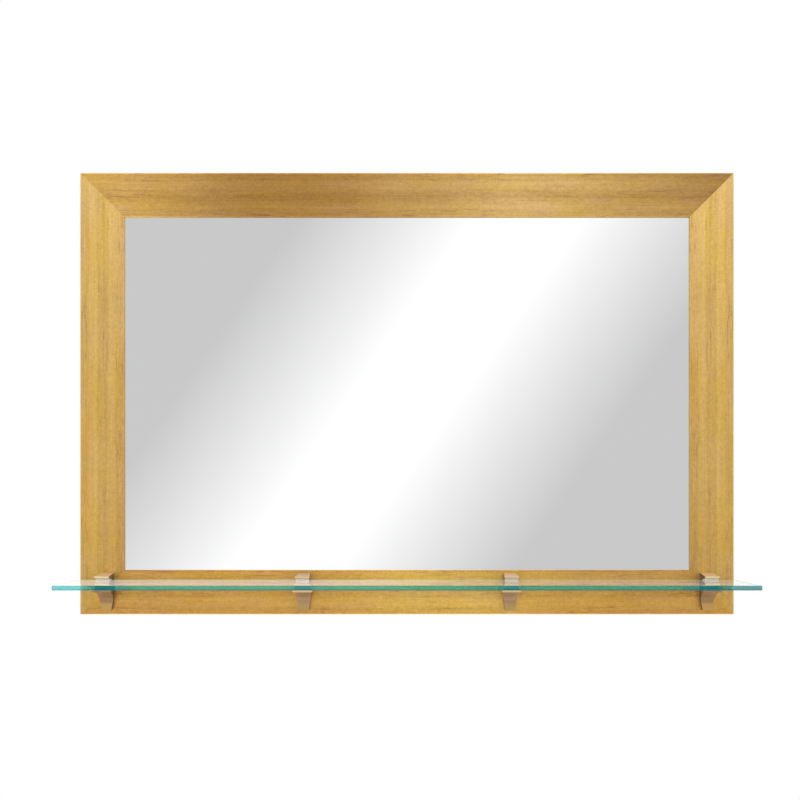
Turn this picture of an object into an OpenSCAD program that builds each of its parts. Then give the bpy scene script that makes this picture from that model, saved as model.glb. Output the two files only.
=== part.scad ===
// Wall mirror in a mitred moulding, with a glass shelf held by clamp brackets on its bottom rail.
// Millimetres. +X to the right, -Y towards the viewer, +Y into the wall, +Z up.
// The origin is on the wall, behind the middle of the frame.

/* [Frame] */
// Width of the frame across its outer edges
frame_w = 940; // [800:5:1200]
// Height of the frame across its outer edges
frame_h = 635; // [520:5:900]
// Width of the moulding's face
rail_w = 63.5; // [60:0.5:80]
// Thickness of the moulding from its back to its face
rail_t = 22; // [20:0.5:30]
// Width of the rabbet that holds the mirror
rabbet_w = 8; // [6:0.5:10]
// Thickness of the lip in front of the mirror
lip_t = 3.5; // [3:0.5:7]
// Radius of the two long front edges
edge_r = 1.2; // [0.6:0.1:2]

/* [Mitre nails] */
// Length of each leg of a V-shaped nail
nail_leg = 7; // [5:0.5:9]
// Thickness of a nail's sheet
nail_t = 0.6; // [0.4:0.1:1]
// How deep the nails go into the back of the frame
nail_depth = 10; // [6:0.5:13]
// Distance of a nail's bend from the frame's outer edges, and of the other's from the sight edges
nail_inset = 16; // [14:0.5:20]

/* [Mirror and back] */
// Thickness of the mirror glass
mirror_t = 4; // [3:0.5:5]
// Thickness of the backing board
board_t = 3; // [2:0.5:4]
// Gap round the mirror and the board in the rabbet
mirror_gap = 1; // [0.5:0.1:2]
// Width of a glazing point
point_w = 6; // [4:0.5:9]
// Length of a glazing point, half of it in the rabbet's wall
point_l = 12; // [10:0.5:14]
// Thickness of a glazing point
point_t = 0.6; // [0.4:0.1:1]
// Distance from one glazing point to the next
point_pitch = 170; // [100:5:250]
// Least distance from the corner of the opening to a glazing point
point_margin = 60; // [40:5:80]

/* [Wall bumpers] */
// Thickness of the rubber bumpers, which set the frame off the wall
bumper_t = 6.5; // [6:0.1:10]
// Radius of a bumper
bumper_r = 6; // [5:0.5:9]
// Chamfer round a bumper's wall face
bumper_chamfer = 1; // [0.5:0.1:1.5]
// Distance of the bumpers from the frame's top and bottom edges
bumper_inset = 82; // [75:1:90]

/* [Hangers] */
// Distance from the frame's top edge down to the hinge of the rings
hanger_drop = 130; // [110:5:160]
// Width of a hanger strap
strap_w = 19; // [16:0.5:22]
// Length of a hanger strap below the hinge
strap_l = 50; // [46:1:60]
// Thickness of the strap's sheet, which is folded double round the ring
strap_sheet = 1.2; // [0.8:0.1:1.4]
// Radius of the ring's wire
ring_wire_r = 1.5; // [1.2:0.1:1.6]
// Side play of the ring on the strap
ring_play = 1; // [0.5:0.1:2]
// Straight part of the ring's sides
ring_leg = 5; // [3:0.5:10]
// Radius of a hanger screw's shank
hanger_screw_r = 2; // [1.6:0.1:2.2]
// Radius of a hanger screw's head
hanger_head_r = 4; // [3.5:0.1:4.5]
// Height of a hanger screw's head
hanger_head_h = 2.2; // [1.6:0.1:2.4]
// How much less the radius of a hanger screw's head is at its top
hanger_head_taper = 1; // [0.6:0.1:1.2]
// Depth of the hanger screws in the wood
hanger_screw_l = 14; // [10:0.5:17]
// Distance from the hinge down to the first hanger screw
hanger_screw_first = 18; // [16:0.5:20]
// Distance between the two screws of a hanger
hanger_screw_pitch = 20; // [15:0.5:22]

/* [Glass shelf] */
// How far the shelf reaches past each side of the frame
shelf_past = 0; // [-10:1:30]
// Depth of the shelf from back edge to front edge
shelf_depth = 127; // [90:1:160]
// Thickness of the shelf glass
shelf_t = 6.35; // [5:0.05:8]
// Height of the shelf's top above the frame's bottom edge
shelf_rise = 50.5; // [50:0.1:51]
// Corner radius of the shelf seen from above
shelf_corner_r = 3; // [1:0.5:10]
// Chamfer along the shelf's edges
shelf_arris = 0.7; // [0.3:0.1:1.2]

/* [Bracket places] */
// Distance from the frame's side edge to the middle of the outer brackets
bracket_inset = 40; // [30:1:80]
// Distance between the middles of the two inner brackets
bracket_span = 295; // [200:5:400]

/* [Bracket jaws] */
// Distance from the frame's face to the lips of the jaws
jaw_reach = 34.5; // [32:0.5:40]
// Width of the upper jaw at the frame
upper_back_w = 17; // [14:0.5:18]
// Width of the upper jaw at its lip
upper_front_w = 20.5; // [18:0.1:24]
// Height of the upper jaw's back edge above the glass
upper_back_h = 9; // [7.5:0.1:9]
// Height of the upper jaw's lip
upper_lip_h = 2.3; // [1.8:0.1:3]
// Width of the lower jaw at its lip
lower_front_w = 27.6; // [26:0.1:30]
// Height of the lower jaw's lip
lower_lip_h = 6.2; // [5.5:0.1:7]
// Thickness of the lower jaw's lip from front to back
lower_lip_t = 2.2; // [1.5:0.1:3]
// Distance over which the back of the lip slopes up to the lower jaw's plate
lip_blend = 2.5; // [1.5:0.1:4]
// Thickness of the lower jaw's plate
plate_t = 4.2; // [3.8:0.1:4.6]
// How far the upper jaw rises from the glass when its screw is let out
jaw_travel = 4; // [2:0.1:6]
// Gap between the upper jaw and the frame's face
jaw_back_gap = 0.4; // [0.3:0.1:1]

/* [Bracket body] */
// Depth of the tail, which is also the glass's distance from the frame's face
tail_d = 8; // [7.8:0.1:9]
// Width of the tail at its lower end
tail_w = 13.5; // [12:0.5:16]
// Width of the body against the frame
body_back_w = 18.5; // [18.2:0.1:20]
// Width of the belly just under the lower jaw's lip
belly_w = 23; // [21:0.5:25]
// Distance from the glass's underside down to the end of the tail
tail_drop = 37.5; // [36:0.1:40]
// Distance from the glass's underside down to where the tail's front starts to curve
curve_low = 25; // [22:0.5:30]
// Distance from the glass's underside down to the bend that the curve is drawn towards
curve_bend = 16; // [14:0.1:19]
// Step from the lower end of the lip up to the belly's curve
belly_step = 0.6; // [0.4:0.1:1]
// Height of the post behind the glass above the glass's underside
post_rise = 4.5; // [3:0.1:4.8]

/* [Pads] */
// Distance from the frame's face to the back of the pads
pad_back = 9.5; // [9.2:0.1:12]
// Distance from the pads' front to the jaws' lips
pad_setback = 2; // [1:0.5:8]
// Thickness of the pads at their back
pad_t = 0.8; // [0.6:0.1:1]
// Rise of the jaws' faces from the glass per millimetre of reach
pad_slope = 0.117; // [0.1:0.001:0.13]
// Margin of a pad inside the sides of the upper jaw
pad_margin = 0.8; // [0.5:0.1:2]

/* [Clamp screws] */
// Radius of the clamp screw's thread
clamp_r = 1.5; // [1.3:0.1:1.6]
// Length of thread left in the neck when the upper jaw is at its highest
clamp_grip = 13.4; // [10:0.1:14]
// Radius of the clamp screw's head
clamp_head_r = 2.75; // [2.5:0.05:2.8]
// Height of the clamp screw's head
clamp_head_h = 3; // [2.5:0.1:3.2]
// Width across flats of the hexagon socket
clamp_hex = 2.5; // [2:0.1:2.5]
// Depth of the hexagon socket
clamp_hex_d = 1.5; // [1:0.1:2]
// How deep the head sits in the end of the tail
clamp_recess = 1; // [0.5:0.1:1.5]
// Width of the neck that carries the upper jaw
neck_w = 7.6; // [7:0.1:7.8]
// Thickness of the neck from front to back
neck_t = 4.8; // [4.6:0.1:5]
// Distance from the glass's underside down to the neck's lower end
neck_drop = 22; // [21:0.5:23]
// Room under the neck in the body
neck_room = 1; // [0.5:0.1:2]
// Thickness of the body's wall behind the neck
back_wall = 1.5; // [1.2:0.1:1.6]

/* [Bracket screws] */
// Radius of the screws that hold a bracket from behind
fixing_r = 1.5; // [1.3:0.1:1.6]
// Radius of their heads
fixing_head_r = 2.8; // [2.6:0.1:3]
// Height of their heads
fixing_head_h = 2; // [1.6:0.1:2.4]
// How deep their heads are sunk into the back of the rail
fixing_sink = 4; // [3:0.5:6]
// Length of their threads in the bracket
fixing_grip = 7; // [5:0.5:7]
// Distance of each from the middle of the bracket
fixing_x = 6.3; // [6.2:0.05:6.4]
// Distance from the glass's underside down to them
fixing_drop = 17; // [16:0.5:18]

/* [Cross slots] */
// Width of the slots in the screw heads
slot_w = 1; // [0.8:0.1:1.2]
// Depth of the slots
slot_d = 1.2; // [0.8:0.1:1.4]
// Distance from the ends of the slots to the edge of the head's top
slot_margin = 1; // [0.6:0.1:1.2]

/* [Clearances] */
// Radial gap of a screw in the thread or the hinge that carries it
fit_gap = 0.05; // [0.02:0.01:0.08]
// Gap of sliding faces
slide_gap = 0.2; // [0.15:0.01:0.25]
// Radial gap of a screw in a plain hole
hole_gap = 0.3; // [0.25:0.05:0.4]
// Room past the tip of a screw in a blind hole
tip_room = 0.5; // [0.2:0.1:0.8]

/* [Hidden] */
$fn = 48;
bracket_count = 4;
bracket_parts = ["bracket_body", "bracket_jaw", "upper_pad", "lower_pad", "clamp_screw"];

// a cut goes this far past the face that it opens
over = 1;

// the frame's planes, seen from above
back_y = -bumper_t;
face_y = back_y - rail_t;

// the stack in the rabbet, from front to back
mirror_y = face_y + lip_t;
board_y = mirror_y + mirror_t;
point_y = board_y + board_t;
sight_w = frame_w - 2 * rail_w;
sight_h = frame_h - 2 * rail_w;
glass_w = sight_w + 2 * (rabbet_w - mirror_gap);
glass_h = sight_h + 2 * (rabbet_w - mirror_gap);
wall_w = sight_w + 2 * rabbet_w;
wall_h = sight_h + 2 * rabbet_w;

// the hangers, each with its hinge on the middle of a stile
hanger_x = frame_w / 2 - rail_w / 2;
hanger_z = frame_h / 2 - hanger_drop;
strap_t = 2 * strap_sheet;
ring_hole_r = ring_wire_r + fit_gap;
loop_r = ring_hole_r + strap_sheet;
ring_r = strap_w / 2 + ring_play + ring_wire_r;
hanger_screw_zs = [hanger_screw_first, hanger_screw_first + hanger_screw_pitch];

// the shelf and the brackets, in a bracket's own frame: y = 0 on the face, z = 0 under the glass
shelf_w = frame_w + 2 * shelf_past;
shelf_z = -frame_h / 2 + shelf_rise - shelf_t;
outer_x = frame_w / 2 - bracket_inset;
inner_x = bracket_span / 2;
bracket_xs = [-outer_x, -inner_x, inner_x, outer_x];

// where the jaws' sloping faces meet the lips
lip_gap = pad_t + pad_slope * (jaw_reach - pad_back);
pad_front = jaw_reach - pad_setback;
pad_front_t = pad_t + pad_slope * (pad_front - pad_back);
lip_bottom = -lip_gap - lower_lip_h;
curve_steps = 16;

// the neck, the channel that guides it and the screw in it
neck_back = back_wall + slide_gap;
clamp_y = neck_back + neck_t / 2;
channel_w = neck_w + 2 * slide_gap;
channel_t = neck_t + 2 * slide_gap;
channel_floor = -neck_drop - neck_room;
clamp_seat = -tail_drop + clamp_recess + clamp_head_h;
clamp_tip = -neck_drop + jaw_travel + clamp_grip;

// ---------- frame ----------

// the moulding's section, with y across its thickness and z from its outer edge
module moulding_section() {
    difference() {
        union() {
            translate([face_y + edge_r, 0]) square([rail_t - edge_r, rail_w]);
            translate([face_y, edge_r]) square([rail_t, rail_w - 2 * edge_r]);
            translate([face_y + edge_r, edge_r]) circle(edge_r);
            translate([face_y + edge_r, rail_w - edge_r]) circle(edge_r);
        }
        translate([mirror_y, rail_w - rabbet_w]) square([rail_t, rabbet_w + over]);
    }
}

// one length of moulding, mitred at both ends, with its outer edge on z = 0
module moulding(length) {
    intersection() {
        translate([-length / 2, 0, 0])
            rotate([90, 0, 90]) linear_extrude(length) moulding_section();
        rotate([90, 0, 0]) linear_extrude(bumper_t + rail_t + over)
            polygon([
                [-length / 2, 0],
                [length / 2, 0],
                [length / 2 - rail_w, rail_w],
                [-length / 2 + rail_w, rail_w]
            ]);
    }
}

// everything that is let into the mouldings
module frame_cuts() {
    nail_shapes();
    point_shapes();
    hanger_pilot_holes();
    fixing_holes();
}

module rail_bottom() {
    color("goldenrod") difference() {
        translate([0, 0, -frame_h / 2]) moulding(frame_w);
        frame_cuts();
    }
}

module rail_top() {
    color("goldenrod") difference() {
        translate([0, 0, frame_h / 2]) rotate([0, 180, 0]) moulding(frame_w);
        frame_cuts();
    }
}

module stile_left() {
    color("goldenrod") difference() {
        translate([-frame_w / 2, 0, 0]) rotate([0, 90, 0]) moulding(frame_h);
        frame_cuts();
    }
}

module stile_right() {
    color("goldenrod") difference() {
        translate([frame_w / 2, 0, 0]) rotate([0, -90, 0]) moulding(frame_h);
        frame_cuts();
    }
}

// one V nail with its bend on the mitre, for the corner at the lower left
module v_nail(inset) {
    translate([-frame_w / 2 + inset, back_y, -frame_h / 2 + inset])
        rotate([90, 0, 0]) linear_extrude(nail_depth) {
            translate([-nail_leg, -nail_t / 2]) square([nail_leg + nail_t / 2, nail_t]);
            translate([-nail_t / 2, -nail_leg]) square([nail_t, nail_leg + nail_t / 2]);
        }
}

module nail_shapes() {
    for (flip_x = [0, 1], flip_z = [0, 1], inset = [nail_inset, rail_w - nail_inset])
        mirror([flip_x, 0, 0]) mirror([0, 0, flip_z]) v_nail(inset);
}

module corner_nails() {
    color("dimgray") nail_shapes();
}

// ---------- mirror and back ----------

module mirror_glass() {
    color("gainsboro")
        translate([-glass_w / 2, mirror_y, -glass_h / 2]) cube([glass_w, mirror_t, glass_h]);
}

module backing_board() {
    color("saddlebrown")
        translate([-glass_w / 2, board_y, -glass_h / 2]) cube([glass_w, board_t, glass_h]);
}

// places of the points along a side of the given length, evenly about its middle
function point_places(length) =
    let (count = floor((length - 2 * point_margin) / point_pitch) + 1)
    [for (i = [0:count - 1]) (i - (count - 1) / 2) * point_pitch];

// half of each point is in the rabbet's wall, and the other half lies on the board
module point_shapes() {
    for (x = point_places(sight_w), side = [-1, 1])
        translate([x - point_w / 2, point_y, side * wall_h / 2 - point_l / 2])
            cube([point_w, point_t, point_l]);
    for (z = point_places(sight_h), side = [-1, 1])
        translate([side * wall_w / 2 - point_l / 2, point_y, z - point_w / 2])
            cube([point_l, point_t, point_w]);
}

module glazing_points() {
    color("silver") point_shapes();
}

module wall_bumpers() {
    for (x = [-hanger_x, hanger_x], side = [-1, 1])
        color("black") translate([x, back_y, side * (frame_h / 2 - bumper_inset)])
            rotate([-90, 0, 0]) {
                cylinder(r = bumper_r, h = bumper_t - bumper_chamfer);
                translate([0, 0, bumper_t - bumper_chamfer])
                    cylinder(r1 = bumper_r, r2 = bumper_r - bumper_chamfer, h = bumper_chamfer);
            }
}

// ---------- hangers ----------

// moves its children to a hanger: x across, y out from the frame's back, z up from the hinge
module at_hanger(x) {
    translate([x, back_y, hanger_z]) children();
}

module hanger_strap(x) {
    color("silver") at_hanger(x) difference() {
        union() {
            rotate([-90, 0, 0]) linear_extrude(strap_t) {
                translate([-strap_w / 2, 0]) square([strap_w, strap_l - strap_w / 2]);
                translate([0, strap_l - strap_w / 2]) circle(strap_w / 2);
            }
            translate([-strap_w / 2, loop_r, 0])
                rotate([0, 90, 0]) cylinder(r = loop_r, h = strap_w);
        }
        translate([-strap_w / 2 - over, loop_r, 0])
            rotate([0, 90, 0]) cylinder(r = ring_hole_r, h = strap_w + 2 * over);
        for (drop = hanger_screw_zs)
            translate([0, -over, -drop])
                rotate([-90, 0, 0]) cylinder(r = hanger_screw_r + hole_gap, h = strap_t + 2 * over);
    }
}

// the ring stands up from its hinge, as on a wall hook
module hanger_ring(x) {
    color("silver") at_hanger(x) translate([0, loop_r, 0]) {
        translate([-ring_r, 0, 0])
            rotate([0, 90, 0]) cylinder(r = ring_wire_r, h = 2 * ring_r);
        for (side = [-1, 1]) translate([side * ring_r, 0, 0]) {
            sphere(ring_wire_r);
            cylinder(r = ring_wire_r, h = ring_leg);
        }
        translate([0, 0, ring_leg])
            rotate([90, 0, 0]) rotate_extrude(angle = 180)
                translate([ring_r, 0]) circle(ring_wire_r);
    }
}

// a cross slot, cut down from z = 0 in a head whose flat top has the given radius
module cross_slot(head_r) {
    reach = head_r - slot_margin;
    for (turn = [0, 90])
        rotate([0, 0, turn]) translate([-slot_w / 2, -reach, -slot_d])
            cube([slot_w, 2 * reach, slot_d + over]);
}

module hanger_screw() {
    top_r = hanger_head_r - hanger_head_taper;
    translate([0, -hanger_screw_l, 0])
        rotate([-90, 0, 0]) cylinder(r = hanger_screw_r, h = hanger_screw_l + strap_t);
    difference() {
        translate([0, strap_t, 0])
            rotate([-90, 0, 0]) cylinder(r1 = hanger_head_r, r2 = top_r, h = hanger_head_h);
        translate([0, strap_t + hanger_head_h, 0]) rotate([-90, 0, 0]) cross_slot(top_r);
    }
}

module hanger_screws() {
    color("silver") for (x = [-hanger_x, hanger_x], drop = hanger_screw_zs)
        at_hanger(x) translate([0, 0, -drop]) hanger_screw();
}

module hanger_pilot_holes() {
    for (x = [-hanger_x, hanger_x], drop = hanger_screw_zs)
        at_hanger(x) translate([0, over, -drop])
            rotate([90, 0, 0]) cylinder(r = hanger_screw_r + fit_gap, h = hanger_screw_l + over);
}

// ---------- glass shelf ----------

// a rectangle with its four corners cut off at 45 degrees
module chamfered(size) {
    polygon([
        [shelf_arris, 0],
        [size[0] - shelf_arris, 0],
        [size[0], shelf_arris],
        [size[0], size[1] - shelf_arris],
        [size[0] - shelf_arris, size[1]],
        [shelf_arris, size[1]],
        [0, size[1] - shelf_arris],
        [0, shelf_arris]
    ]);
}

module rounded(size, r) {
    translate([r, 0]) square([size[0] - 2 * r, size[1]]);
    translate([0, r]) square([size[0], size[1] - 2 * r]);
    for (x = [r, size[0] - r], y = [r, size[1] - r]) translate([x, y]) circle(r);
}

module glass_shelf() {
    color("mediumaquamarine", 0.5)
        translate([-shelf_w / 2, face_y - tail_d - shelf_depth, shelf_z]) intersection() {
            linear_extrude(shelf_t) rounded([shelf_w, shelf_depth], shelf_corner_r);
            rotate([90, 0, 90]) linear_extrude(shelf_w) chamfered([shelf_depth, shelf_t]);
            translate([0, shelf_depth, 0])
                rotate([90, 0, 0]) linear_extrude(shelf_depth) chamfered([shelf_w, shelf_t]);
        }
}

// ---------- brackets ----------

// moves its children to bracket i: y = 0 on the frame's face, z = 0 under the glass
module at_bracket(i) {
    translate([bracket_xs[i - 1], face_y, shelf_z]) children();
}

// a side view, with points [distance from the frame's face, height], over a width
module side_view(points, width) {
    translate([-width / 2, 0, 0]) rotate([90, 0, 90]) linear_extrude(width)
        polygon([for (p = points) [-p[0], p[1]]]);
}

// what lies inside a plan that widens evenly from the frame to the jaws' lips
module widening(back_w, front_w, low, high) {
    translate([0, 0, low]) linear_extrude(high - low)
        polygon([
            [-back_w / 2, 0],
            [back_w / 2, 0],
            [front_w / 2, -jaw_reach],
            [-front_w / 2, -jaw_reach]
        ]);
}

// a point on the belly's curve, from the tail's front to the lip
function belly_point(t) =
    let (low = [tail_d, -curve_low], bend = [tail_d, -curve_bend])
    let (high = [jaw_reach - lower_lip_t, lip_bottom + belly_step])
    low * (1 - t) * (1 - t) + bend * 2 * t * (1 - t) + high * t * t;

// the height of the lower jaw's sloping top at a distance from the frame
function lower_top(d) = -pad_t - pad_slope * (d - pad_back);

// the lower jaw: a plate that slopes away from the glass and ends in a deep lip
module lower_jaw() {
    intersection() {
        side_view([
            [0, lower_top(0)],
            [jaw_reach, lower_top(jaw_reach)],
            [jaw_reach, lip_bottom],
            [jaw_reach - lower_lip_t, lip_bottom],
            [jaw_reach - lower_lip_t - lip_blend, lower_top(jaw_reach) - plate_t],
            [0, lower_top(0) - plate_t]
        ], lower_front_w);
        widening(body_back_w, lower_front_w, lip_bottom, 0);
    }
}

// the belly and the tail, which narrow downwards
module belly() {
    intersection() {
        side_view(concat(
            [[0, -pad_t - plate_t / 2], [0, -tail_drop], [tail_d, -tail_drop]],
            [for (i = [0:curve_steps]) belly_point(i / curve_steps)],
            [[jaw_reach - lower_lip_t, lower_top(jaw_reach) - plate_t / 2]]
        ), lower_front_w);
        widening(body_back_w, belly_w, -tail_drop, 0);
        rotate([90, 0, 0]) linear_extrude(jaw_reach)
            polygon([
                [-tail_w / 2, -tail_drop],
                [tail_w / 2, -tail_drop],
                [belly_w / 2, lip_bottom],
                [belly_w / 2, 0],
                [-belly_w / 2, 0],
                [-belly_w / 2, lip_bottom]
            ]);
    }
}

// the post behind the glass, which the glass's back edge stops against
module post() {
    translate([-body_back_w / 2, -tail_d, -pad_t - plate_t])
        cube([body_back_w, tail_d, post_rise + pad_t + plate_t]);
}

module bracket_body(i) {
    color("tan") at_bracket(i) difference() {
        union() {
            lower_jaw();
            belly();
            post();
        }
        translate([-channel_w / 2, -back_wall - channel_t, channel_floor])
            cube([channel_w, channel_t, post_rise - channel_floor + over]);
        translate([0, -clamp_y, -tail_drop - over])
            cylinder(r = clamp_r + hole_gap, h = channel_floor + tail_drop + 2 * over);
        translate([0, -clamp_y, -tail_drop - over])
            cylinder(r = clamp_head_r + hole_gap, h = clamp_seat + tail_drop + over);
        for (side = [-1, 1])
            translate([side * fixing_x, over, -fixing_drop])
                rotate([90, 0, 0])
                    cylinder(r = fixing_r + fit_gap, h = over + fixing_grip + tip_room);
    }
}

module bracket_jaw(i) {
    color("tan") at_bracket(i) difference() {
        union() {
            translate([0, 0, shelf_t]) intersection() {
                side_view([
                    [jaw_back_gap, pad_t],
                    [pad_back, pad_t],
                    [jaw_reach, lip_gap],
                    [jaw_reach, lip_gap + upper_lip_h],
                    [jaw_back_gap, upper_back_h]
                ], upper_front_w);
                widening(upper_back_w, upper_front_w, 0, upper_back_h);
            }
            translate([-neck_w / 2, -neck_back - neck_t, -neck_drop])
                cube([neck_w, neck_t, neck_drop + shelf_t + (pad_t + upper_back_h) / 2]);
        }
        translate([0, -clamp_y, -neck_drop - over])
            cylinder(r = clamp_r + fit_gap, h = over + neck_drop + clamp_tip + tip_room);
    }
}

// a wedge between a jaw's sloping face and the glass
module pad_shape() {
    intersection() {
        side_view([
            [pad_back, 0],
            [pad_front, 0],
            [pad_front, pad_front_t],
            [pad_back, pad_t]
        ], upper_front_w);
        widening(upper_back_w - 2 * pad_margin, upper_front_w - 2 * pad_margin, 0, lip_gap);
    }
}

module upper_pad(i) {
    color("whitesmoke") at_bracket(i) translate([0, 0, shelf_t]) pad_shape();
}

module lower_pad(i) {
    color("whitesmoke") at_bracket(i) mirror([0, 0, 1]) pad_shape();
}

module clamp_screw(i) {
    color("silver") at_bracket(i) translate([0, -clamp_y, clamp_seat]) {
        cylinder(r = clamp_r, h = clamp_tip - clamp_seat);
        difference() {
            translate([0, 0, -clamp_head_h]) cylinder(r = clamp_head_r, h = clamp_head_h);
            translate([0, 0, -clamp_head_h - over])
                cylinder(d = clamp_hex / cos(30), h = clamp_hex_d + over, $fn = 6);
        }
    }
}

// ---------- bracket screws ----------

// moves its children to each of the screws that hold the brackets, with z out of the rail's back
module at_fixings() {
    for (i = [1:bracket_count], side = [-1, 1])
        at_bracket(i) translate([side * fixing_x, rail_t - fixing_sink, -fixing_drop])
            rotate([-90, 0, 0]) children();
}

module bracket_screws() {
    shank = rail_t - fixing_sink + fixing_grip;
    color("silver") at_fixings() {
        translate([0, 0, -shank]) cylinder(r = fixing_r, h = shank);
        difference() {
            cylinder(r = fixing_head_r, h = fixing_head_h);
            translate([0, 0, fixing_head_h]) cross_slot(fixing_head_r);
        }
    }
}

module fixing_holes() {
    at_fixings() {
        translate([0, 0, -rail_t]) cylinder(r = fixing_r + hole_gap, h = rail_t + over);
        cylinder(r = fixing_head_r + hole_gap, h = fixing_sink + over);
    }
}

// ---------- what is drawn ----------

rail_top();
rail_bottom();
stile_left();
stile_right();
corner_nails();
mirror_glass();
backing_board();
glazing_points();
wall_bumpers();
hanger_strap(-hanger_x);  // hanger_strap_left
hanger_strap(hanger_x);  // hanger_strap_right
hanger_ring(-hanger_x);  // hanger_ring_left
hanger_ring(hanger_x);  // hanger_ring_right
hanger_screws();
glass_shelf();
bracket_screws();
for (i = [1:bracket_count]) {
    bracket_body(i);
    bracket_jaw(i);
    upper_pad(i);
    lower_pad(i);
    clamp_screw(i);
}
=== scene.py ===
"""Dresses the wall mirror with its glass shelf: camera, studio, materials and softened edges.

Metres, in the part's own frame: +X to the right, -Y towards the viewer, +Z up, the wall at y = 0.
"""

import math

import bpy
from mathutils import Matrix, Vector


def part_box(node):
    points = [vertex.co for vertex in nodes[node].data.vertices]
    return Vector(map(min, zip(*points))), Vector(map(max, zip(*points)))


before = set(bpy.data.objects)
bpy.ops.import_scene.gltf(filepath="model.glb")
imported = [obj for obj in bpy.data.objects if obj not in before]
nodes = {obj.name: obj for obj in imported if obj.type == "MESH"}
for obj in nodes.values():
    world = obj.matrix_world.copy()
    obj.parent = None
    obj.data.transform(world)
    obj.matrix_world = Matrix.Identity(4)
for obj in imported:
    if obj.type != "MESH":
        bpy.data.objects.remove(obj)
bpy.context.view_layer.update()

BRACKETS = (1, 2, 3, 4)
OUTER = 0.3  # the outer brackets stand further than this from the middle
WHITE = (1, 1, 1, 1)  # it also leaves a colour that it is multiplied with as it is

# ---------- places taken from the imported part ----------

frame_low, rail_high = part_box("rail_bottom")
frame_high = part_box("rail_top")[1]
face_y = frame_low.y
rail_w = rail_high.z - frame_low.z
mirror_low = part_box("mirror_glass")[0]
jaw_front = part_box("bracket_jaw_1")[0].y
shelf_low, shelf_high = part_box("glass_shelf")

# ---------- camera, as in the photograph ----------

PHOTO = 800  # px, the side of the square photograph
AXIS_PX = (407, 506)  # px, where the optical axis meets the photograph, from its upper left corner
LENS = 51.63  # mm, on a 36 mm sensor
EYE_TO_FACE = 1.65  # from the eye to the frame's face
EYE_RISE = 0.1558  # height of the eye above the frame's lower edge


def build_camera():
    data = bpy.data.cameras.new("camera")
    data.lens = LENS
    data.shift_x = (PHOTO / 2 - AXIS_PX[0]) / PHOTO
    data.shift_y = (AXIS_PX[1] - PHOTO / 2) / PHOTO
    camera = bpy.data.objects.new("camera", data)
    camera.location = (0, face_y - EYE_TO_FACE, frame_low.z + EYE_RISE)
    camera.rotation_euler = (math.radians(90), 0, 0)
    bpy.context.scene.collection.objects.link(camera)
    bpy.context.scene.camera = camera


# ---------- node helpers ----------


def add(tree, kind, inputs=None, **settings):
    """A shader node. inputs maps a socket's name or index to a value or to another node's output."""
    node = tree.nodes.new(kind)
    for name, value in settings.items():
        setattr(node, name, value)
    for key, value in (inputs or {}).items():
        if isinstance(value, bpy.types.NodeSocket):
            tree.links.new(value, node.inputs[key])
        else:
            node.inputs[key].default_value = value
    return node


def calc(tree, operation, *values):
    return add(tree, "ShaderNodeMath", dict(enumerate(values)), operation=operation).outputs[0]


def product(tree, value, *factors):
    for factor in factors:
        value = calc(tree, "MULTIPLY", value, factor)
    return value


def remap(tree, value, low, high, to_low=0.0, to_high=1.0, shape="SMOOTHSTEP"):
    """value, brought from low..high to to_low..to_high and kept inside it.

    The rise has soft ends, or is even where shape is LINEAR.
    """
    inputs = {"Value": value, "From Min": low, "From Max": high, "To Min": to_low, "To Max": to_high}
    return add(tree, "ShaderNodeMapRange", inputs, interpolation_type=shape).outputs[0]


def mix(tree, factor, a, b):
    """The number a where factor is 0 and b where it is 1."""
    return add(tree, "ShaderNodeMix", {0: factor, 2: a, 3: b}).outputs[0]


def blend(tree, factor, a, b):
    """The colour a where factor is 0 and b where it is 1."""
    inputs = {0: factor, 6: a, 7: b}
    return add(tree, "ShaderNodeMix", inputs, data_type="RGBA").outputs[2]


def colour_calc(tree, operation, inputs):
    return add(tree, "ShaderNodeVectorMath", inputs, operation=operation).outputs[0]


def scaled(tree, colour, factor):
    return colour_calc(tree, "SCALE", {0: colour, 3: factor})


def times(tree, a, b):
    return colour_calc(tree, "MULTIPLY", {0: a, 1: b})


def vector(tree, x, y, z):
    return add(tree, "ShaderNodeCombineXYZ", {0: x, 1: y, 2: z}).outputs[0]


def noise(tree, where, scale, detail=3.0, rough=0.55, seed=0.0):
    inputs = {"Vector": where, "W": seed, "Scale": scale, "Detail": detail, "Roughness": rough}
    return add(tree, "ShaderNodeTexNoise", inputs, noise_dimensions="4D").outputs["Fac"]


def place(tree):
    """The place on the object and its x, y and z, in metres."""
    point = add(tree, "ShaderNodeTexCoord").outputs["Object"]
    return point, add(tree, "ShaderNodeSeparateXYZ", {0: point}).outputs


SQUARELY, MOSTLY = 0.9, 0.5  # how far a surface is turned to a side to count as facing it


def facing(tree):
    """How far the surface is turned to the right, to the back and up, each from -1 to 1."""
    normal = add(tree, "ShaderNodeNewGeometry").outputs["True Normal"]
    return add(tree, "ShaderNodeSeparateXYZ", {0: normal}).outputs


def bump(tree, height, depth, strength=1.0):
    inputs = {"Strength": strength, "Distance": depth, "Height": height}
    return add(tree, "ShaderNodeBump", inputs).outputs[0]


def material(name, **surface):
    """A material and its tree; surface gives the principled shader's sockets, with _ for a space."""
    made = bpy.data.materials.new(name)
    made.use_nodes = True
    tree = made.node_tree
    finish_surface(tree, **surface)
    return made, tree


def finish_surface(tree, **surface):
    shader = tree.nodes["Principled BSDF"]
    for name, value in surface.items():
        socket = shader.inputs[name.replace("_", " ")]
        if isinstance(value, bpy.types.NodeSocket):
            tree.links.new(value, socket)
        else:
            socket.default_value = value


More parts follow.
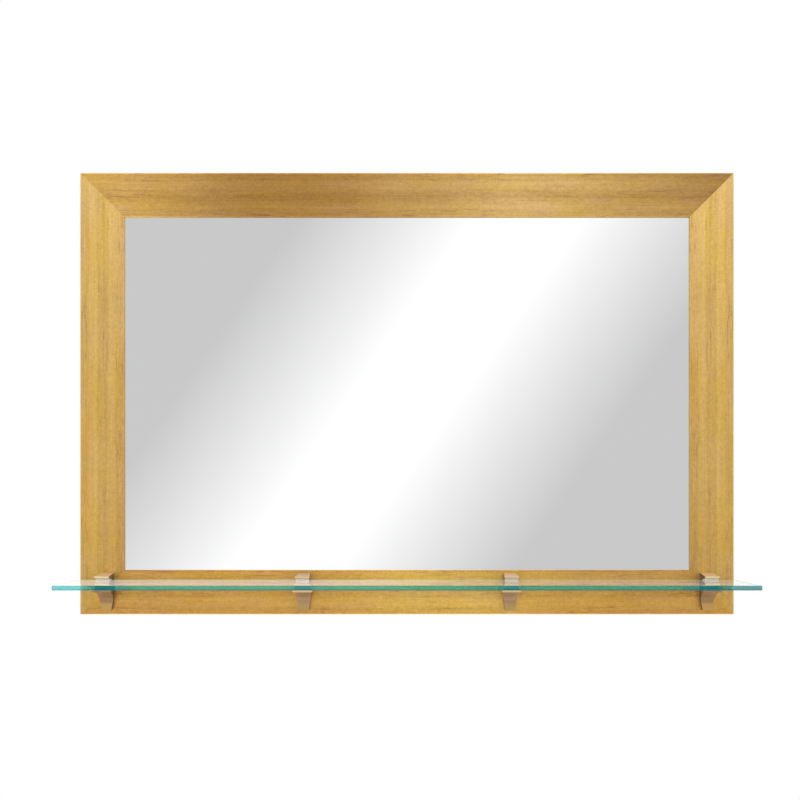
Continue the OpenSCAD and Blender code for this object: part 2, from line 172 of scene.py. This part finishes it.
def rgb(red, green, blue):
    """A colour given in display values from 0 to 255, as the shaders need it."""
    def linear(value):
        value /= 255
        return value / 12.92 if value <= 0.04045 else ((value + 0.055) / 1.055) ** 2.4
    return (linear(red), linear(green), linear(blue), 1.0)


def glow(start, low, high, end):
    """1 from low to high, and 0 before start and after end."""
    def lit(tree, run):
        return product(tree, remap(tree, run, start, low), remap(tree, run, high, end, 1.0, 0.0))
    return lit


def slope(low, high):
    """An even rise from 0 at low to 1 at high."""
    def lit(tree, run):
        return remap(tree, run, low, high, shape="LINEAR")
    return lit


def toned(shade, light, lit, second=None, second_lit=None):
    """Painted light and shade along the run: shade, painted lighter to light where lit is 1, and to
    second where second_lit is 1.
    """
    def tone(tree, run):
        colour = blend(tree, lit(tree, run), shade, light)
        return blend(tree, second_lit(tree, run), colour, second) if second else colour
    return tone


# ---------- gold foil of the moulding ----------

# the grains of the foil: how many times their width they are drawn out along the length, and the
# scale, detail, roughness and seed of their noise
STREAKS, BROAD_STREAKS = (40, 480, 4, 0.7, 0), (50, 95, 2, 0.5, 3)
WEAVE, FINE_GRAIN = (0.4, 300, 2, 0.6, 7), (1.5, 260, 3, 0.6, 9)
PATCHES, CLOUDS = (2.5, 26, 2, 0.5, 11), (5, 55, 2, 0.5, 29)
DASHES, DASHED_PARTS = (14, 620, 2, 0.5, 17), (3, 42, 2, 0.5, 23)
# how much the grains, the bands, the painted highlight along the outer edge and the dashes change
# the tone
STREAK, BAND, OUTER_EDGE_HIGHLIGHT, DASH = 0.6, 0.10, 0.16, 0.75
GRAINS = ((WEAVE, 0.55), (FINE_GRAIN, 0.5), (BROAD_STREAKS, 0.25), (PATCHES, 0.3))
GRAIN_HUE = (0.82, 1.03, 1.2)  # how much of that change red, green and blue take
# the two bright bands and the dark line along the face: where each starts, is full, fades and
# ends, measured from the outer edge, and how strong it is beside the first
BANDS = (
    (0.0101, 0.0137, 0.0223, 0.0262, 1.0),
    (0.0372, 0.0425, 0.0490, 0.0548, 0.65),
    (0.0312, 0.0338, 0.0346, 0.0374, -0.8),
)
BAND_MEAN = 0.27  # taken off, so that the bands leave the face's mean tone as it is
# also from the outer edge: where the painted highlight along it fades and ends, and where the
# painted light near the mirror starts and is full
OUTER_HIGHLIGHT_PLACES, INNER_PLACES = (0.0008, 0.0024), (0.040, 0.052)
# painted light and shade along the sight edge: light on the top rail and the stiles, shade on the
# bottom rail
SIGHT_EDGE = 0.0014  # width of the line along the sight edge
# the clouds' two tones and the dashes' tone, and the values of their noise where they start and
# are full
CLOUD_PALE, CLOUD_YELLOW = (1.0, 1.0, 1.14, 1), (1.0, 1.0, 0.84, 1)
DASH_BROWN = (0.70, 0.58, 0.88, 1)
CLOUD_RANGE, DASH_RANGE, DASHED_RANGE = (-0.16, 0.16), (0.02, 0.16), (-0.12, 0.1)
# the dashes give way on the bright bands: the bands' values off and on them, and what is left there
DASHES_LEFT = (-0.4, 0.6, 1.0, 0.2)
FOIL_METAL, FOIL_ROUGH, STREAK_ROUGH = 0.85, 0.42, 0.16
# the core shows at the back and in the rabbet, which starts this far outside the mirror's edge
# and this far behind its face
RABBET_SIDE, RABBET_FRONT = 0.0015, 0.0002
CORE_DARK, CORE_LIGHT, CORE_ROUGH = rgb(150, 112, 74), rgb(196, 160, 116), 0.85
CORE_SCALE, CORE_ALONG = 900, 0.3  # the scale of its fibres, and the share of it along the length


def gold_moulding(name, seed, along, outer_edge, inwards, tone, sight, lift, contrast):
    """Brushed gold foil over a fibreboard core.

    seed sets the places of its grain. along is the axis of the length; the other axis runs across
    it from outer_edge, and inwards, 1 or -1, is its direction. tone gives the foil's tone from the
    run, with its painted light and shade; sight is how much painted shade darkens it right at the
    sight edge, painted light where sight is negative, lift how much painted light lightens it near
    the mirror, painted shade where lift is negative, and contrast how strong the grain and these
    painted marks are.
    """
    made, tree = material(name)
    _, (x, y, z) = place(tree)
    run, side = (x, z) if along == "x" else (z, x)
    across = product(tree, calc(tree, "SUBTRACT", side, outer_edge), inwards)

    def drawn(stretch, scale, detail, rough, shift):
        """Noise about 0, drawn out along the length to stretch times its width."""
        where = vector(tree, calc(tree, "DIVIDE", run, stretch), across, y)
        return calc(tree, "SUBTRACT", noise(tree, where, scale, detail, rough, seed + shift), 0.5)

    streaks = drawn(*STREAKS)
    bands = -BAND_MEAN
    for *places, strength in BANDS:
        bands = calc(tree, "MULTIPLY_ADD", glow(*places)(tree, across), strength, bands)
    # the painted highlight along the outer edge, the painted light near the mirror and the painted
    # light and shade along the sight edge go in with the grain
    changes = (
        (streaks, STREAK),
        *((drawn(*grain), amount) for grain, amount in GRAINS),
        (bands, BAND),
        (remap(tree, across, *OUTER_HIGHLIGHT_PLACES, 1.0, 0.0), OUTER_EDGE_HIGHLIGHT),
        (remap(tree, across, *INNER_PLACES), lift),
        (calc(tree, "GREATER_THAN", across, rail_w - SIGHT_EDGE), -sight),
    )
    change = 0.0
    for part, amount in changes:
        change = calc(tree, "MULTIPLY_ADD", part, amount, change)
    change = product(tree, change, contrast)
    # the tone along the run, with its painted light and shade
    foil = tone(tree, run)
    # yellower in long clouds, and browner in patches of short dashes
    golden = remap(tree, drawn(*CLOUDS), *CLOUD_RANGE)
    foil = times(tree, foil, blend(tree, golden, CLOUD_PALE, CLOUD_YELLOW))
    dashes = remap(tree, drawn(*DASHES), *DASH_RANGE)
    dashed = remap(tree, drawn(*DASHED_PARTS), *DASHED_RANGE)
    browned = product(tree, dashes, dashed, remap(tree, bands, *DASHES_LEFT), DASH)
    foil = times(tree, foil, blend(tree, browned, WHITE, DASH_BROWN))
    grain_and_painted_light = colour_calc(tree, "MULTIPLY_ADD", {0: GRAIN_HUE, 1: change, 2: WHITE[:3]})
    foil = times(tree, foil, grain_and_painted_light)
    _, backwards, _ = facing(tree)
    behind = calc(tree, "GREATER_THAN", backwards, MOSTLY)
    beside_mirror = mirror_low.z - frame_low.z - RABBET_SIDE
    in_rabbet = product(tree, calc(tree, "GREATER_THAN", across, beside_mirror),
                        calc(tree, "GREATER_THAN", y, mirror_low.y + RABBET_FRONT))
    bare = calc(tree, "MAXIMUM", behind, in_rabbet)
    where = vector(tree, product(tree, run, CORE_ALONG), across, y)
    fibres = noise(tree, where, CORE_SCALE, detail=4, rough=0.7, seed=seed)
    colour = blend(tree, bare, foil, blend(tree, fibres, CORE_DARK, CORE_LIGHT))
    metal = remap(tree, bare, 0.0, 1.0, FOIL_METAL, 0.0)
    rough = calc(tree, "MULTIPLY_ADD", streaks, STREAK_ROUGH, FOIL_ROUGH)
    rough = calc(tree, "MAXIMUM", rough, product(tree, bare, CORE_ROUGH))
    relief = bump(tree, streaks, depth=0.00004, strength=0.5)
    finish_surface(tree, Base_Color=colour, Metallic=metal, Roughness=rough, Normal=relief)
    return made


# ---------- mirror ----------

SILVER_DARK, SILVER_BRIGHT = (0.955, 0.965, 0.96, 1), (0.975, 0.98, 0.975, 1)
# how rough the haze is, and the values of its noise where it starts and is full
HAZE_ROUGH, HAZE_RANGE = 0.012, (0.45, 0.8)


def silvered_glass():
    """Float glass with silver behind it: an almost perfect reflection, faintly uneven."""
    made, tree = material("silvered_glass", Metallic=1.0)
    point, _ = place(tree)
    haze_and_sheen = noise(tree, point, 3.0, detail=2, rough=0.5)
    tint = blend(tree, haze_and_sheen, SILVER_DARK, SILVER_BRIGHT)
    rough = product(tree, remap(tree, haze_and_sheen, *HAZE_RANGE), HAZE_ROUGH)
    finish_surface(tree, Base_Color=tint, Roughness=rough)
    return made


# ---------- glass of the shelf ----------

# the tint of the light that goes through the glass, and how strongly a metre of it tints
GLASS_TINT, GLASS_DENSITY = (0.92, 0.94, 0.84, 1), 12.5
# the upper and the lower dark line along the ground edges, painted dark reflections, as parts of the
# thickness: where the one starts and is full, and where the other fades and ends; and the tones
# beside and on them
UPPER_LINE, LOWER_LINE = (0.80, 0.90), (0.36, 0.46)
EDGE_LIGHT, EDGE_DARK = (0.145, 0.83, 0.62, 1), (0.045, 0.43, 0.44, 1)
# painted light at the ends, for the light that comes in at the end faces, brighter at the left end
# than at the right: how far it reaches, how softly it ends, and its tones
END_GLOW, END_SOFT = 0.040, 0.004
LEFT_END, RIGHT_END = (0.225, 0.71, 0.73, 1), (0.155, 0.39, 0.39, 1)
# painted shade on the front edge where a bracket stands behind it, for the bracket seen through the
# glass: its tone, how softly it ends, and how much of the light the outer and inner brackets keep
# out
BEHIND_TONE, BEHIND_SOFT = (0.005, 0.18, 0.19), 0.0012
BEHIND_OUTER, BEHIND_INNER = 0.95, 0.65
# how bright the painted light of the ends and the painted shade of these places are beside the
# painted dark lines, and how much darker on them
LINE_BRIGHT, LINE_DARKER = 1.08, 0.18
# how much of the edges' light is scattered, along them, and at the ends and before a bracket, where
# the painted light and the painted shade show in it
EDGE_MILKY, END_MILKY = 0.16, 0.75
# the upper face left and right of the middle: its tint and its white veil, a painted sheen, both
# with painted shade on the right, and where the one turns into the other
TOP_TINT, TOP_TINT_RIGHT = (1.0, 0.99, 0.90, 1), (0.89, 0.94, 0.87, 1)
PAINTED_SHEEN_LEFT, PAINTED_SHEEN_RIGHT = 0.25, 0.12
TOP_TURN = (-0.07, 0.14)
# how much the veil's painted sheen varies, as if wiped, and the scale of that along and across the
# shelf
WIPED, WIPED_ALONG, WIPED_ACROSS = 0.1, 6, 30


def brackets_behind(tree, x):
    """Where painted shade goes on the shelf's front edge: how much of a bracket the camera has
    behind each place.
    """
    edge_depth = EYE_TO_FACE - (face_y - shelf_low.y)
    at_jaws = edge_depth / (EYE_TO_FACE - (face_y - jaw_front))
    at_frame = edge_depth / EYE_TO_FACE
    behind = 0.0
    for i in BRACKETS:
        low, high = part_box(f"bracket_jaw_{i}")
        nearer, farther = sorted((abs(low.x), abs(high.x)))
        start, end = nearer * at_frame, farther * at_jaws
        places = (start - BEHIND_SOFT, start + BEHIND_SOFT, end - BEHIND_SOFT, end + BEHIND_SOFT)
        covered = glow(*places)(tree, product(tree, x, math.copysign(1, low.x)))
        strength = BEHIND_OUTER if nearer > OUTER else BEHIND_INNER
        behind = calc(tree, "MULTIPLY_ADD", covered, strength, behind)
    return behind


def shelf_glass():
    """Clear float glass: green ground edges with painted dark reflections along them, painted light
    at the ends, painted shade where a bracket stands behind the front edge, and a thin white veil on
    the top, a painted sheen.
    """
    made, tree = material("shelf_glass", IOR=1.52, Roughness=0.0, Specular_IOR_Level=0.0)
    _, (x, y, z) = place(tree)
    _, backwards, upwards = facing(tree)
    # the front edge and the ends are ground, and the back edge is as clear as the faces
    clear_side = calc(tree, "MAXIMUM", calc(tree, "ABSOLUTE", upwards), backwards)
    edge = calc(tree, "LESS_THAN", clear_side, SQUARELY)
    top = calc(tree, "GREATER_THAN", upwards, SQUARELY)
    where = vector(tree, product(tree, x, WIPED_ALONG), product(tree, y, WIPED_ACROSS), z)
    wiped = noise(tree, where, 1.0)
    # painted sheen on the top: a white veil, weaker to the right as painted shade
    to_right = remap(tree, x, *TOP_TURN)
    veil = calc(tree, "MULTIPLY_ADD", to_right, PAINTED_SHEEN_RIGHT - PAINTED_SHEEN_LEFT, PAINTED_SHEEN_LEFT)
    veil = calc(tree, "MULTIPLY_ADD", wiped, WIPED, calc(tree, "SUBTRACT", veil, WIPED / 2))
    haze_and_sheen = product(tree, veil, top)
    # painted dark reflections: a dark line along the top and along the bottom of the ground edges
    height = calc(tree, "SUBTRACT", z, shelf_low.z)
    height = calc(tree, "DIVIDE", height, shelf_high.z - shelf_low.z)
    line = calc(tree, "MAXIMUM", remap(tree, height, *UPPER_LINE),
                remap(tree, height, *LOWER_LINE, 1.0, 0.0))
    ground = blend(tree, line, EDGE_LIGHT, EDGE_DARK)
    lined = calc(tree, "MULTIPLY_ADD", line, -LINE_DARKER, LINE_BRIGHT)
    # painted light at the ends of the ground edges, brighter at the left end
    past_glow = calc(tree, "SUBTRACT", calc(tree, "ABSOLUTE", x), -shelf_low.x - END_GLOW)
    at_end = remap(tree, past_glow, -END_SOFT, END_SOFT)
    end = blend(tree, calc(tree, "GREATER_THAN", x, 0.0), LEFT_END, RIGHT_END)
    ground = blend(tree, at_end, ground, scaled(tree, end, lined))
    # painted shade where a bracket stands behind the front edge
    behind = brackets_behind(tree, x)
    ground = blend(tree, behind, ground, scaled(tree, BEHIND_TONE, lined))
    # painted shade: the top is tinted darker to the right
    above = blend(tree, top, WHITE, blend(tree, to_right, TOP_TINT, TOP_TINT_RIGHT))
    tint = blend(tree, edge, above, ground)
    scattered = calc(tree, "MAXIMUM", at_end, behind)
    milky = calc(tree, "MULTIPLY_ADD", scattered, END_MILKY - EDGE_MILKY, EDGE_MILKY)
    clear = calc(tree, "SUBTRACT", 1.0, mix(tree, edge, haze_and_sheen, milky))
    finish_surface(tree, Base_Color=tint, Transmission_Weight=clear)
    inside = {"Color": GLASS_TINT, "Density": GLASS_DENSITY}
    volume = add(tree, "ShaderNodeVolumeAbsorption", inside).outputs[0]
    tree.links.new(volume, tree.nodes["Material Output"].inputs["Volume"])
    return made


# ---------- plating of the brackets ----------

# its tones on the front, on the belly with painted shade where it faces down, on the sides with
# painted shade, and on the upper faces with painted light, on the lips with painted highlights
# and on the tail, painted lighter
SATIN, BELLY, SIDE = rgb(181, 148, 106), rgb(172, 140, 104), rgb(112, 98, 92)
UPPER, LIP, TAIL = rgb(201, 167, 127), rgb(244, 202, 148), rgb(197, 161, 106)
# painted light: the outer brackets, the same plating, are painted warmer, and their upper faces,
# lips and tails lighter, as if they caught more light
OUTER_TINT = (0.94, 0.87, 0.74, 1)
UPPER_OUTER, LIP_OUTER, TAIL_OUTER = rgb(225, 200, 168), rgb(255, 236, 184), rgb(220, 182, 120)
# how far a surface is turned up where the tones of the front, above the belly's painted shade, and
# of the upper faces, with painted light, start and are full, and how far sideways it is turned for
# the painted shade of the sides
FRONT_TURN, UPPER_TURN, SIDE_TURN = (-0.55, -0.05), (0.2, 0.8), (0.75, 0.95)
# how far below the glass the tail's lighter tone, painted light, starts and is full, and where the
# painted shade of the hollow above the tail starts, is full, fades and ends
TAIL_PLACES, HOLLOW_PLACES = (0.023, 0.031), (0.013, 0.019, 0.0215, 0.0275)
# how much painted shade darkens the hollow, on the inner and the outer brackets
HOLLOW_INNER, HOLLOW_OUTER = 0.09, 0.21  # how much darker the hollow is
# how far behind the jaws' fronts the painted highlight of the lips reaches
LIP_DEPTH = 0.0007
# the scale of the plating's clouds and of its fine grain, and the share of it upwards
CLOUD_SCALE, CLOUD_UP, FINE_SCALE, FINE_UP = 90, 0.4, 1800, 0.2
CLOUD = 0.12  # how much the clouds change its tone
PLATE_ROUGH, FINE_ROUGH = 0.34, 0.05  # and how much the fine grain adds


def bracket_metal():
    """Satin champagne-gold plating, with painted highlights along the jaws' lips, painted shade on
    the sides, the belly and the hollow, and painted light on the upper faces and the tail.
    """
    made, tree = material("bracket_metal", Metallic=0.6)
    _, (x, y, z) = place(tree)
    sideways, backwards, upwards = facing(tree)
    clouds, fine = (
        noise(tree, vector(tree, x, y, product(tree, z, up)), scale, detail=2, rough=0.5)
        for scale, up in ((CLOUD_SCALE, CLOUD_UP), (FINE_SCALE, FINE_UP))
    )
    outer = calc(tree, "GREATER_THAN", calc(tree, "ABSOLUTE", x), OUTER)
    # painted shade on the belly where it faces down
    plate = blend(tree, remap(tree, upwards, *FRONT_TURN), BELLY, SATIN)
    below = calc(tree, "SUBTRACT", shelf_low.z, z)
    # painted light: the tail lighter further below the glass
    tail = blend(tree, outer, TAIL, TAIL_OUTER)
    plate = blend(tree, remap(tree, below, *TAIL_PLACES), plate, tail)
    # painted shade in the hollow above the tail
    darker = calc(tree, "MULTIPLY_ADD", outer, HOLLOW_OUTER - HOLLOW_INNER, HOLLOW_INNER)
    hollow = product(tree, glow(*HOLLOW_PLACES)(tree, below), darker)
    plate = scaled(tree, plate, calc(tree, "SUBTRACT", 1.0, hollow))
    # painted light: the outer brackets painted warmer
    plate = times(tree, plate, blend(tree, outer, WHITE, OUTER_TINT))
    # painted light on the upper faces
    upper = blend(tree, outer, UPPER, UPPER_OUTER)
    plate = blend(tree, remap(tree, upwards, *UPPER_TURN), plate, upper)
    plate = scaled(tree, plate, calc(tree, "MULTIPLY_ADD", clouds, CLOUD, 1 - CLOUD / 2))
    # painted highlights along the jaws' lips
    lip = product(tree, calc(tree, "LESS_THAN", y, jaw_front + LIP_DEPTH),
                  calc(tree, "LESS_THAN", backwards, -MOSTLY))
    # the outer brackets' lower lips get no painted highlight, and take the belly's painted shade
    lower_outer = product(tree, calc(tree, "LESS_THAN", z, shelf_low.z), outer)
    shine = blend(tree, lower_outer, blend(tree, outer, LIP, LIP_OUTER), BELLY)
    plate = blend(tree, lip, plate, shine)
    # painted shade on the sides
    side_shade = remap(tree, calc(tree, "ABSOLUTE", sideways), *SIDE_TURN)
    colour = blend(tree, side_shade, plate, SIDE)
    rough = calc(tree, "MULTIPLY_ADD", fine, FINE_ROUGH, PLATE_ROUGH)
    relief = bump(tree, fine, depth=0.000006, strength=0.4)
    finish_surface(tree, Base_Color=colour, Roughness=rough, Normal=relief)
    return made


# ---------- small parts and the back ----------

PAD_DARK, PAD_PALE = rgb(236, 225, 212), rgb(247, 236, 223)
PRESSED_DARK, PRESSED_PALE = rgb(116, 80, 50), rgb(158, 116, 76)
RUBBER = rgb(30, 30, 31)
# the hardboard's pale clouds and dark flecks and the rubber's dust, each with how much of it shows
BOARD_CLOUD, BOARD_CLOUDED = rgb(176, 134, 92), 0.35
BOARD_FLECK, BOARD_FLECKED = rgb(72, 46, 28), 0.4
DUST, DUSTY = rgb(74, 72, 70), 0.5


def clear_pad():
    """Milky soft plastic with a fine matt grain."""
    made, tree = material("clear_pad", IOR=1.45)
    point, _ = place(tree)
    grain = noise(tree, point, 900, detail=3, rough=0.6)
    colour = blend(tree, grain, PAD_DARK, PAD_PALE)
    rough = calc(tree, "MULTIPLY_ADD", grain, 0.2, 0.35)
    relief = bump(tree, grain, depth=0.00003)
    finish_surface(tree, Base_Color=colour, Roughness=rough, Normal=relief)
    return made


def plated_steel(name, dark, bright, scale, smoothest, roughest):
    """Steel with the slight clouds of a zinc plating or of the rolling mill."""
    made, tree = material(name, Metallic=1.0)
    point, _ = place(tree)
    clouds = noise(tree, point, scale, detail=4, rough=0.6)
    colour = blend(tree, remap(tree, clouds, 0.35, 0.65), dark, bright)
    rough = remap(tree, clouds, 0.3, 0.7, smoothest, roughest)
    relief = bump(tree, clouds, depth=0.00003)
    finish_surface(tree, Base_Color=colour, Roughness=rough, Normal=relief)
    return made


def hardboard():
    """Smooth brown hardboard with its pressed fibres and a few darker flecks."""
    made, tree = material("hardboard", Roughness=0.62)
    point, _ = place(tree)
    fibres = noise(tree, point, 520, detail=5, rough=0.7)
    flecks = remap(tree, noise(tree, point, 340, detail=3, rough=0.6, seed=4), 0.62, 0.72)
    clouds = noise(tree, point, 9, detail=2, rough=0.5, seed=2)
    colour = blend(tree, fibres, PRESSED_DARK, PRESSED_PALE)
    colour = blend(tree, product(tree, clouds, BOARD_CLOUDED), colour, BOARD_CLOUD)
    colour = blend(tree, product(tree, flecks, BOARD_FLECKED), colour, BOARD_FLECK)
    relief = bump(tree, fibres, depth=0.00012, strength=0.6)
    finish_surface(tree, Base_Color=colour, Normal=relief)
    return made


def bumper_rubber():
    """Matt black rubber with a moulded grain and a little dust."""
    made, tree = material("bumper_rubber", Specular_IOR_Level=0.35)
    point, _ = place(tree)
    grain = noise(tree, point, 1600, detail=3, rough=0.6)
    dust = noise(tree, point, 240, detail=3, rough=0.6, seed=5)
    colour = blend(tree, remap(tree, dust, 0.5, 0.75, 0.0, DUSTY), RUBBER, DUST)
    rough = calc(tree, "MULTIPLY_ADD", grain, 0.25, 0.55)
    relief = bump(tree, grain, depth=0.00005)
    finish_surface(tree, Base_Color=colour, Roughness=rough, Normal=relief)
    return made


# ---------- each node's material ----------


def numbered(*names):
    return [f"{name}_{i}" for name in names for i in BRACKETS]


# the tone of each length of the moulding with painted light along it: darker where no painted light
# falls, painted lighter in pools along the rails and towards the top of the stiles, with its places
# measured from the middle
TOP_TONE_PAINTED_LIGHT = toned(rgb(160, 119, 61), rgb(195, 159, 95), glow(-0.15, 0.18, 0.18, 0.60),
                 rgb(213, 169, 91), glow(-0.48, -0.46, -0.44, -0.21))
BOTTOM_TONE_PAINTED_LIGHT = toned(rgb(217, 167, 85), rgb(231, 187, 98), glow(-0.16, 0.02, 0.08, 0.27))
STILE_TONE_PAINTED_LIGHT = toned(rgb(221, 177, 96), rgb(228, 188, 108), slope(-0.26, 0.27))
# each length's node and the arguments of gold_moulding
LENGTHS = (
    ("rail_top", "gold_top", 1, "x", frame_high.z, -1, TOP_TONE_PAINTED_LIGHT, -0.3, 0.09, 1.0),
    ("rail_bottom", "gold_bottom", 2, "x", frame_low.z, 1, BOTTOM_TONE_PAINTED_LIGHT, 0.5, 0.09, 1.0),
    ("stile_left", "gold_left", 3, "z", frame_low.x, 1, STILE_TONE_PAINTED_LIGHT, -0.05, -0.03, 0.78),
    ("stile_right", "gold_right", 3, "z", frame_high.x, -1, STILE_TONE_PAINTED_LIGHT, -0.05, -0.03, 0.78),
)
HANGERS = [f"hanger_{part}_{side}" for part in ("strap", "ring") for side in ("left", "right")]
# the nodes of each steel and the arguments of plated_steel
STEELS = (
    (numbered("clamp_screw"),
     "bright_steel", rgb(186, 186, 186), rgb(214, 213, 210), 420, 0.18, 0.34),
    ([*HANGERS, "hanger_screws", "bracket_screws"],
     "zinc_plate", rgb(166, 168, 166), rgb(206, 205, 196), 260, 0.28, 0.5),
    (["corner_nails", "glazing_points"],
     "plain_steel", rgb(96, 94, 92), rgb(138, 135, 130), 340, 0.35, 0.6),
)


def wear(names, made):
    """Gives CAD nodes a material."""
    for name in names:
        slots = nodes[name].data.materials
        slots.clear()
        slots.append(made)


def dress():
    for name, *length in LENGTHS:
        wear([name], gold_moulding(*length))
    wear(["mirror_glass"], silvered_glass())
    wear(["glass_shelf"], shelf_glass())
    wear(numbered("bracket_body", "bracket_jaw"), bracket_metal())
    wear(numbered("upper_pad", "lower_pad"), clear_pad())
    for names, *steel in STEELS:
        wear(names, plated_steel(*steel))
    wear(["backing_board"], hardboard())
    wear(["wall_bumpers"], bumper_rubber())


# ---------- softened edges ----------

SHARP = 35  # degrees, the least turn of an edge that is softened
ONE_POINT = 1e-6  # corners nearer to each other than this are one
# the softened nodes, and the width and the steps of the softening
SOFT = (
    (numbered("bracket_body", "bracket_jaw"), 0.0005, 3),
    (numbered("upper_pad", "lower_pad"), 0.0002, 2),
)


def soften(piece, width, steps):
    """Rounds a piece's sharp edges a little, as a polished or moulded one has them."""
    weld = piece.modifiers.new("weld", "WELD")
    weld.merge_threshold = ONE_POINT
    bevel = piece.modifiers.new("soft_edges", "BEVEL")
    bevel.width = width
    bevel.segments = steps
    bevel.limit_method = "ANGLE"
    bevel.angle_limit = math.radians(SHARP)
    bevel.harden_normals = True


def soften_edges():
    for names, width, steps in SOFT:
        for name in names:
            soften(nodes[name], width, steps)


# ---------- studio ----------

FLOOR_DROP = 0.9  # from the frame's lower edge down to the floor
FLOOR_HALF = 2.2  # from the middle to its sides
FLOOR_DARK, FLOOR_PALE = rgb(240, 240, 239), rgb(248, 248, 247)
# the slanting bright band that the mirror shows: how much it leans, how far left its middle lies,
# how far beside that it starts to fade and is grey, and its display values there
BAND_LEAN, BAND_LEFT = 0.693, 0.068
BAND_FADE, BAND_LEVELS = (0.0437, 0.2003), (1.022, 0.797)
DISPLAY_POWER = 2.25  # from display values to light
# beside the band the studio turns white downwards, so that the mirror shows no hard floor edge:
# the heights where it is white and where that starts, how far sideways that starts and is white,
# and its level
COVE_HEIGHTS, COVE_SIDES, COVE_LEVEL = (-0.40, -0.22), (0.35, 0.8), 1.05
LEAST_AHEAD = 0.05  # keeps the slopes finite
FRONT_END = (-0.25, 0.05)  # where the front of the studio turns into the plain white behind
OVERHEAD, OVERHEAD_LEVEL = (0.35, 0.8), 0.45  # where more light comes from above, and how much
SOFTBOX_PLACE, SOFTBOX_SIZE, SOFTBOX_POWER = (0, -1.6, 1.9), 1.6, 22


def build_floor():
    z = frame_low.z - FLOOR_DROP
    corners = [(x * FLOOR_HALF, y * FLOOR_HALF, z) for x, y in ((-1, -1), (1, -1), (1, 1), (-1, 1))]
    mesh = bpy.data.meshes.new("floor")
    mesh.from_pydata(corners, [], [(0, 1, 2, 3)])
    floor = bpy.data.objects.new("floor", mesh)
    bpy.context.scene.collection.objects.link(floor)
    made, tree = material("floor", Roughness=0.8)
    point, _ = place(tree)
    finish_surface(tree, Base_Color=blend(tree, noise(tree, point, 2.0), FLOOR_DARK, FLOOR_PALE))
    mesh.materials.append(made)


def studio_front(tree, x, y, z):
    """The brightness in front of the object in each direction: the slanting band and the cove."""
    ahead = calc(tree, "MAXIMUM", product(tree, y, -1.0), LEAST_AHEAD)
    leaning = product(tree, calc(tree, "DIVIDE", z, ahead), BAND_LEAN)
    slant = calc(tree, "SUBTRACT", calc(tree, "DIVIDE", x, ahead), leaning)
    off_band = calc(tree, "ABSOLUTE", calc(tree, "ADD", slant, BAND_LEFT))
    fade = remap(tree, off_band, *BAND_FADE, *BAND_LEVELS, shape="LINEAR")
    band = calc(tree, "POWER", fade, DISPLAY_POWER)
    beside = calc(tree, "DIVIDE", calc(tree, "ABSOLUTE", x), ahead)
    cove = product(tree, remap(tree, z, *COVE_HEIGHTS, 1.0, 0.0), remap(tree, beside, *COVE_SIDES))
    return mix(tree, cove, band, COVE_LEVEL)


def build_world():
    """White behind the object for the camera; a pale studio lights it and shows in the mirror."""
    world = bpy.data.worlds.new("studio")
    world.use_nodes = True
    bpy.context.scene.world = world
    tree = world.node_tree
    tree.nodes.clear()
    direction = add(tree, "ShaderNodeTexCoord").outputs["Generated"]
    x, y, z = add(tree, "ShaderNodeSeparateXYZ", {0: direction}).outputs
    in_front = remap(tree, y, *FRONT_END, 1.0, 0.0)
    level = calc(tree, "ADD", product(tree, studio_front(tree, x, y, z), in_front),
                 calc(tree, "SUBTRACT", 1.0, in_front))
    level = calc(tree, "ADD", level, remap(tree, z, *OVERHEAD, 0.0, OVERHEAD_LEVEL))
    studio, white = (
        add(tree, "ShaderNodeBackground", {"Color": WHITE, "Strength": strength}).outputs[0]
        for strength in (level, 1.0)
    )
    seen = add(tree, "ShaderNodeLightPath").outputs["Is Camera Ray"]
    mixed = add(tree, "ShaderNodeMixShader", {0: seen, 1: studio, 2: white}).outputs[0]
    add(tree, "ShaderNodeOutputWorld", {"Surface": mixed})


def build_softbox():
    data = bpy.data.lights.new("softbox_above", "AREA")
    data.shape = "SQUARE"
    data.size = SOFTBOX_SIZE
    data.energy = SOFTBOX_POWER
    lamp = bpy.data.objects.new("softbox_above", data)
    lamp.location = SOFTBOX_PLACE
    lamp.rotation_mode = "QUATERNION"
    to_middle = Vector() - Vector(SOFTBOX_PLACE)
    lamp.rotation_quaternion = to_middle.to_track_quat("-Z", "Y")
    bpy.context.scene.collection.objects.link(lamp)


def build_studio():
    build_floor()
    build_world()
    build_softbox()
    settings = bpy.context.scene.view_settings
    settings.view_transform = "Standard"
    settings.look = "None"


build_camera()
dress()
soften_edges()
build_studio()
